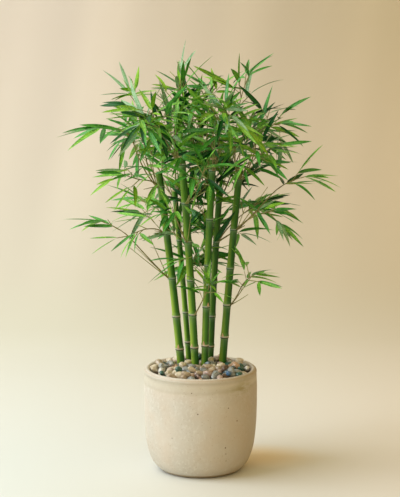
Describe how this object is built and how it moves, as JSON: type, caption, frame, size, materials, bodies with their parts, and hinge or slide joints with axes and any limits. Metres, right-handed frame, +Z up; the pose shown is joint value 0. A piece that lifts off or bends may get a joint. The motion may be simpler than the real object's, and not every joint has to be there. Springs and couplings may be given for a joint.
{
  "type": "potted bamboo",
  "caption": "Potted bamboo: a clump of green canes with cut tops, leafy branches on their joints, in a round cream stoneware pot topped with river pebbles.",
  "frame": {"origin": "centre of the pot's flat underside", "axes": "+Z straight up along the pot, -Y towards the front the plant is seen from, +X to its right"},
  "size_m": [0.7459, 0.6193, 1.1464],
  "materials": {
    "stoneware": "matte",
    "soil": "matte",
    "pebbles": "satin",
    "cane": "satin",
    "branch": "satin",
    "leaf": "satin"
  },
  "bodies": {
    "root": {"branch_back_centre": "branch", "branch_back_left": "branch", "branch_back_low_left": "branch", "branch_back_low_right": "branch", "branch_back_right": "branch", "branch_back_upper": "branch", "branch_centre": "branch", "branch_centre_low": "branch", "branch_far_left": "branch", "branch_far_right": "branch", "branch_front_centre": "branch", "branch_front_left": "branch", "branch_front_right": "branch", "branch_front_small": "branch", "branch_front_upper": "branch", "branch_inner_left": "branch", "branch_low_left": "branch", "branch_low_right": "branch", "branch_mid_left": "branch", "branch_mid_right": "branch", "branch_top_centre": "branch", "branch_top_left": "branch", "branch_top_right": "branch", "branch_upper_left": "branch", "branch_upper_right": "branch", "cane_1": "cane", "cane_2": "cane", "cane_3": "cane", "cane_4": "cane", "cane_5": "cane", "cane_6": "cane", "leaves_back_centre": "leaf", "leaves_back_left": "leaf", "leaves_back_low_left": "leaf", "leaves_back_low_right": "leaf", "leaves_back_right": "leaf", "leaves_back_upper": "leaf", "leaves_centre": "leaf", "leaves_centre_low": "leaf", "leaves_far_left": "leaf", "leaves_far_right": "leaf", "leaves_front_centre": "leaf", "leaves_front_left": "leaf", "leaves_front_right": "leaf", "leaves_front_small": "leaf", "leaves_front_upper": "leaf", "leaves_inner_left": "leaf", "leaves_low_left": "leaf", "leaves_low_right": "leaf", "leaves_mid_left": "leaf", "leaves_mid_right": "leaf", "leaves_top_centre": "leaf", "leaves_top_left": "leaf", "leaves_top_right": "leaf", "leaves_upper_left": "leaf", "leaves_upper_right": "leaf", "pebbles": "pebbles", "pot": "stoneware", "soil": "soil"}
  },
  "joints": []
}
